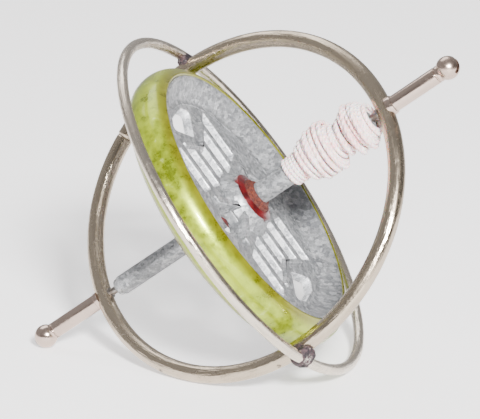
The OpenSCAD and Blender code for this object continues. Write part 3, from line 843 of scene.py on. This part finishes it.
def rim_section():
    """Half an ellipse of (bore + depth * cos t ^ 0.84, half width * sin t), so that its crown is a little
    flatter, with a bead of lacquer along both inner edges."""
    t = np.radians(np.linspace(-70, 70, 36))
    crown = np.stack([rim_bore + (rim_r - rim_bore) * np.cos(t) ** 0.84, half_w * np.sin(t)], -1).tolist()
    bead = arc(rim_bore + 0.42, half_w - 0.16, 0.34, 40, 150, 7) + [[rim_bore, half_w - 0.1]]
    return [[r, -z] for r, z in bead[::-1]] + crown + bead


def lime_lacquer():
    """Clear coloured lacquer over cast metal: pale where it is thin, mottled by the metal under it, and
    olive away from the middle plane of the wheel, where it has run thick."""
    f = Finish("lime_lacquer", Coat_Weight=0.4, Coat_Roughness=0.1)
    spot = f.cells(420, out="Distance")
    cloud = f.noise(120, 5, 0.6)
    fine = f.noise(620, 4, 0.65)
    along = f.node("ShaderNodeVectorMath", out="Value", settings={"operation": "DOT_PRODUCT"},
                   i0=f.node("ShaderNodeVectorMath", settings={"operation": "SUBTRACT"}, i0=f.where,
                             i1=tuple(float(c) for c in laid_down([0, 0, -wheel_shift]))),
                   i1=tuple(float(c) for c in toward_slot))
    off = f.node("ShaderNodeMath", settings={"operation": "ABSOLUTE"}, i0=along)
    edge = f.mask(off + fine * 0.0008, 0.0026, 0.0042)
    thin = f.mask(cloud * 0.5 + fine * 0.5 + spot * 0.15, 0.44, 0.68)
    colour = f.mix(thin, lime, lime_pale)
    colour = f.mix(f.mask(fine, 0.60, 0.74) * 0.5, colour, lime_bare)
    colour = f.mix(edge * 0.85, colour, olive)
    return f.use(Base_Color=colour, Metallic=0.70 - thin * 0.25, Roughness=0.24 + thin * 0.14,
                 Normal=f.bump(cloud * 0.8 + fine * 0.35, 0.00009))


rim_body = skin("lacquered_rim", [(on_wheel(spin(rim_section(), 360)), True, True)], lime_lacquer(),
                sharp=50)
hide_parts("rim_ring")
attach(rim_body, "flywheel")

# ---- The hub bush and its washers ----
# A bush through the hub in glossy red lacquer, crowned on the slotted side, with orange-brown fibre let
# into each face. The front fibre has swollen up round the shaft.

bush_end = half_t + boss_h + 0.1
crown_end = bush_end + 0.45
rear_end = half_t + rear_boss_h + 0.9
washer_r = 3.2
washer_top_r = 2.3
washer_cone_h = 0.9
washer_seat = 0.48
bush_seat = 0.5
bush_red = (0.05, 0.0004, 0.0012)
bush_red_pale = (0.14, 0.001, 0.003)
fibre_dark = (0.015, 0.002, 0.0015)
fibre_brown = (0.065, 0.007, 0.002)
fibre_orange = (0.18, 0.030, 0.006)


def red_lacquer():
    """Deep glossy red in darker and paler clouds, a little uneven, over metal."""
    f = Finish("red_lacquer", Coat_Weight=0.35, Coat_Roughness=0.05, Specular_IOR_Level=0.3)
    cloud = f.noise(700, 3, 0.6)
    return f.use(Base_Color=f.mix(f.mask(cloud, 0.35, 0.65), bush_red, bush_red_pale),
                 Metallic=0.35 + cloud * 0.1, Roughness=0.26 + cloud * 0.1,
                 Normal=f.bump(cloud, 0.00006))


def brown_fibre():
    """Pressed fibre: orange and dark brown threads, matt, with red lacquer rubbed into it."""
    f = Finish("brown_fibre")
    grain = f.noise(1900, 5, 0.7)
    threads = f.noise(900, 3, 0.6, at=f.stretch((1, 0.35, 1), turn=(0.4, 0.7, 0.2)), twist=1.5)
    colour = f.ramp(grain * 0.6 + threads * 0.4,
                    (0.3, fibre_dark), (0.5, fibre_brown), (0.7, fibre_orange))
    return f.use(Base_Color=colour, Roughness=0.62 + grain * 0.2,
                 Normal=f.bump(grain + threads, 0.00025))


bush_profile = ([[upper_shaft_r + snug, -rear_end + bush_seat], [washer_r + snug, -rear_end + bush_seat]]
                + arc(washer_r + 0.14, -rear_end + 0.12, 0.12, 180, 270, 4)
                + arc(bush_r - 0.3, -rear_end + 0.3, 0.3, -90, 0, 8)
                + arc(bush_r - 0.2, bush_end - 0.2, 0.2, 0, 70, 6)
                + [[4.2, bush_end + 0.05], [3.8, bush_end + 0.2]]
                + arc(washer_r + 0.14, crown_end - 0.14, 0.12, 70, 180, 5)
                + [[washer_r + snug, crown_end - bush_seat], [upper_shaft_r + snug, crown_end - bush_seat]])
bush = skin("lacquered_bush", [(on_wheel(spin(bush_profile, 120)), True, True)], red_lacquer())
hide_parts("hub_bush")
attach(bush, "flywheel")


def rear_washer_net():
    """A disc with a soft edge, whose face is lifted by two small waves, sines of the angle and the
    radius."""
    sides = 96
    r = np.linspace(lower_shaft_r + snug, washer_r - 0.1, 14)[:, None]
    b = np.linspace(0, TURN, sides, endpoint=False)[None, :]
    lift = 0.03 * np.sin(3 * b + r * 2) + 0.02 * np.sin(7 * b - r * 5) - 0.05
    top = np.stack([r * np.cos(b), r * np.sin(b), rear_end + lift], -1)
    under = spin([[washer_r, rear_end - 0.16], [washer_r, rear_end - washer_seat],
                  [lower_shaft_r + snug, rear_end - washer_seat]], sides)
    return on_wheel(np.concatenate([top, under]) * [1, 1, -1])


def front_washer_net():
    """A hollow cone from the bush to the shaft. Its radius shrinks as t ^ 0.9 and its height grows as
    t ^ 1.15, so that it steepens towards the shaft, and four small waves, sines of the angle and t,
    wrinkle it."""
    sides = 192
    t = np.linspace(0, 1, 26)[:, None]
    b = np.linspace(0, TURN, sides, endpoint=False)[None, :]
    r = washer_r - (washer_r - washer_top_r) * t ** 0.9 + 0 * b
    wrinkle = np.sin(math.pi * t) * (np.sin(9 * b + 14 * t) * 0.035 + np.sin(23 * b - 31 * t) * 0.03
                                     + np.sin(5 * b + 37 * t) * 0.03 + np.sin(41 * b + 9 * t) * 0.018)
    z = crown_end + washer_cone_h * t ** 1.15 + 0 * b
    z += wrinkle * 0.5 - 0.02 * (1 - t)
    cone = np.stack([(r + wrinkle) * np.cos(b), (r + wrinkle) * np.sin(b), z], -1)
    inner = spin([[upper_shaft_r + snug, crown_end + washer_cone_h],
                  [upper_shaft_r + snug, crown_end - washer_seat],
                  [washer_r, crown_end - washer_seat]], sides)
    return on_wheel(np.concatenate([cone, inner]))


fibre = brown_fibre()
for name, node, net in (("front_fibre", "front_washer", front_washer_net()),
                        ("rear_fibre", "rear_washer", rear_washer_net())):
    disc = skin(name, [(net, True, True)], fibre, sharp=60)
    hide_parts(node)
    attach(disc, "flywheel")

# ---- The string ----
# Pale pink twisted cotton, its end tucked into a hole in the shaft and the rest wound on by hand, so
# that the turns lie across each other in two swellings.

string_r = 0.35
string_start = 10.3
winding_l = 17.0
string_pale = (0.95, 0.60, 0.58)
string_white = (0.97, 0.80, 0.78)
string_rose = (0.86, 0.40, 0.42)
string_painted_groove_shade = (0.86, 0.60, 0.59)

# The passes of the winding: the height where each starts, the height where it ends, and its turns.
string_passes = [(10.3, 27.8, 24), (27.8, 23.2, 7), (23.2, 26.6, 3), (26.6, 20.7, 3), (20.7, 13.6, 9),
                 (13.6, 19.8, 7), (19.8, 15.4, 4)]
per_turn = 48
tube_sides = 10
plump = 1.1
stray = 0.22
nest = 0.66
sink = 0.02


def smoothed(values, width):
    """The values averaged under a raised cosine of an odd width, the end values held."""
    kernel = np.hanning(width) / np.hanning(width).sum()
    return np.convolve(np.pad(values, width // 2, mode="edge"), kernel, "valid")


def winding_path():
    """The string's centre line, as rows (angle, height, radius). It runs to and fro along the shaft in
    passes of different reach, and strays from an even pitch by random bends. Each step lies on the
    highest string that is already under it, kept on a grid of height against angle, and sinks in a
    little. Height and radius are smoothed because the string is taut."""
    rng = np.random.default_rng(7)
    height, angle = [], []
    turns = 0
    for start, end, count in string_passes:
        t = np.linspace(0, 1, count * per_turn, endpoint=False)
        bend = np.interp(t * count, np.arange(count + 1), rng.normal(size=count + 1) * stray)
        height.append(start + (end - start) * t + bend * np.sin(math.pi * t))
        angle.append((turns + t * count) * TURN)
        turns += count
    height, angle = smoothed(np.concatenate(height), 17), np.concatenate(angle)
    height = np.clip(height, string_start, string_start + winding_l + 0.5)
    rows, low = 400, string_start - 1
    step = (winding_l + 2) / rows
    top = np.full((per_turn, rows), upper_shaft_r)
    reach = int(round(string_r / step))
    bulge = np.sqrt(np.clip(1 - (np.arange(-reach, reach + 1) * step / string_r) ** 2, 0, 1)) * string_r
    radius = np.empty(len(height))
    for n, (a, z) in enumerate(zip(angle, height)):
        column = int(round(a / TURN * per_turn)) % per_turn
        row = int(round((z - low) / step))
        span = slice(max(row - reach, 0), min(row + reach + 1, rows))
        cut_off = span.start - (row - reach)
        shape = bulge[cut_off:cut_off + span.stop - span.start]
        under = top[column, span]
        radius[n] = max(float(np.max(under + shape * nest - sink)), upper_shaft_r + string_r)
        top[column, span] = np.maximum(under, radius[n] + shape)
    return np.stack([angle, height, smoothed(radius, 15)], -1)


def tube(path, radius, sides):
    """A pipe along a path: each ring is the path's point plus radius * (side cos + top sin), where side
    is square to the path and the axle, and top is square to the path and side."""
    along = np.gradient(path, axis=0)
    along /= np.linalg.norm(along, axis=1)[:, None]
    side = np.cross(along, [0.0, 0.0, 1.0])
    side /= np.linalg.norm(side, axis=1)[:, None]
    top = np.cross(side, along)
    b = np.linspace(0, TURN, sides, endpoint=False)[None, :, None]
    return path[:, None] + radius * (side[:, None] * np.cos(b) + top[:, None] * np.sin(b))


def cotton():
    """Twisted cotton: slanting strands from the string's own coordinates, faint pink, with rosy flecks, and
    painted shade in the grooves between the strands.
    """
    f = Finish("pink_cotton", Sheen_Weight=0.35, Sheen_Roughness=0.6,
               Subsurface_Weight=0.5, Subsurface_Scale=0.0006)
    along, across = f.apart(f.node("ShaderNodeTexCoord", out="UV"))[:2]
    twist = f.node("ShaderNodeMath", settings={"operation": "SINE"}, i0=(along * 1.6 + across) * TURN * 2)
    cloud = f.noise(330, 4, 0.6)
    fuzz = f.noise(4200, 3, 0.6)
    colour = f.mix(f.mask(cloud, 0.40, 0.62), string_white, string_pale)
    colour = f.mix(f.mask(f.noise(520, 4, 0.7), 0.56, 0.70) * 0.55, colour, string_rose)
    # Painted shade in the grooves between the twisted strands.
    colour = f.mix(f.mask(-twist + fuzz * 0.6, 0.5, 1.2) * 0.4, colour, string_painted_groove_shade)
    return f.use(Base_Color=colour, Roughness=0.5 + fuzz * 0.3,
                 Normal=f.bump(twist * 0.6 + fuzz * 0.8, 0.00013))


wound_a, wound_z, wound_r = winding_path().T
wound_path = np.stack([wound_r * np.cos(wound_a), wound_r * np.sin(wound_a), wound_z], -1)
tuck = np.array([[r, 0, string_start] for r in np.linspace(-1.2, wound_r[0] - 0.4, 6)])
wound_path = np.concatenate([tuck, wound_path[2:]])
string_net = tube(wound_path, string_r * plump, tube_sides)
string_piece = skin("wound_string", [(string_net, False, True)], cotton(), sharp=80,
                    uv=np.array([0.15, 1 / tube_sides]))
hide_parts("string_winding", "string_core")
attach(string_piece, "flywheel")
string_steps = np.linalg.norm(np.diff(wound_path, axis=0), axis=1)
print("length of the string, mm", round(float(string_steps.sum())))

# ---- The table, the light and the camera ----
# A plain pale table in a bright room, brightest at the far left, with a small lamp from the front
# right and a soft one from behind. The camera looks down a little, from as far off as the photo's.

table_glow = (1, 0.975, 0.98, 1)
table_pale = (0.89, 0.88, 0.88)
table_grey = (0.87, 0.86, 0.86)
table_glow_strength = 0.80
table_half = 3.0
lamp_aim = (0, 0, 0.02)
bright_way = (-0.72, 0.58, 0.35)
room_greys = ((0.15, 0.16), (0.75, 1.0))
room_strength = 0.52
image_w = 480
focal_px = 3903.3


def pale_table():
    """A pale matt surface, nearly even all over, with a glow of its own that stands for the bright room
    round it."""
    f = Finish("pale_table", Emission_Color=table_glow, Emission_Strength=table_glow_strength)
    return f.use(Base_Color=f.mix(f.noise(3, 2), table_grey, table_pale),
                 Roughness=0.75 + f.noise(40, 2) * 0.05)


table_corners = np.array([[-1, -1, 0], [1, -1, 0], [1, 1, 0], [-1, 1, 0]]) * table_half
table_top = mesh_of("table_top", table_corners, np.array([[0, 1, 2, 3]]), pale_table())


def soft_light(name, place, size, power):
    """A white oblong light that faces the gyroscope."""
    lamp = bpy.data.lights.new(name, "AREA")
    lamp.shape = "RECTANGLE"
    lamp.size, lamp.size_y = size
    lamp.energy = power
    light = bpy.data.objects.new(name, lamp)
    light.location = place
    light.rotation_euler = (Vector(lamp_aim) - Vector(place)).to_track_quat("-Z", "Y").to_euler()
    bpy.context.scene.collection.objects.link(light)


soft_light("key", (0.435, -0.932, 0.618), (0.17, 0.20), 56)
soft_light("back", (-0.45, 0.55, 1.0), (0.9, 0.7), 7)


def room():
    """The light from all round, dim behind the camera and to its right, bright over the far left: a grey
    that grows with the direction's share of bright_way, (1 + direction . bright_way) / 2."""
    world = bpy.data.worlds.new("room")
    world.use_nodes = True
    tree = world.node_tree
    way = tree.nodes.new("ShaderNodeTexCoord").outputs["Generated"]
    toward = tree.nodes.new("ShaderNodeVectorMath")
    toward.operation = "DOT_PRODUCT"
    toward.inputs[1].default_value = bright_way
    ramp = tree.nodes.new("ShaderNodeValToRGB")
    for stop, (place, grey) in zip(ramp.color_ramp.elements, room_greys):
        stop.position = place
        stop.color = (grey, grey, grey * 1.02, 1)
    half = tree.nodes.new("ShaderNodeMath")
    half.operation = "MULTIPLY_ADD"
    half.inputs[1].default_value = half.inputs[2].default_value = 0.5
    tree.links.new(way, toward.inputs[0])
    tree.links.new(toward.outputs["Value"], half.inputs[0])
    tree.links.new(half.outputs[0], ramp.inputs[0])
    tree.links.new(ramp.outputs[0], tree.nodes["Background"].inputs[0])
    tree.nodes["Background"].inputs[1].default_value = room_strength
    return world


bpy.context.scene.world = room()

lens = bpy.data.cameras.new("camera")
lens.sensor_width = 36
lens.lens = focal_px * lens.sensor_width / image_w
lens.clip_end = 20
camera = bpy.data.objects.new("camera", lens)
# The camera's right, up and backward directions, and its place, as columns.
camera.matrix_world = Matrix([[0.97641102, -0.04986253, 0.21008388, 0.13938705],
                              [0.21584653, 0.25081247, -0.94366487, -0.62832259],
                              [-0.00563815, 0.96675066, 0.25565871, 0.19683192],
                              [0, 0, 0, 1]])
bpy.context.scene.collection.objects.link(camera)
bpy.context.scene.camera = camera
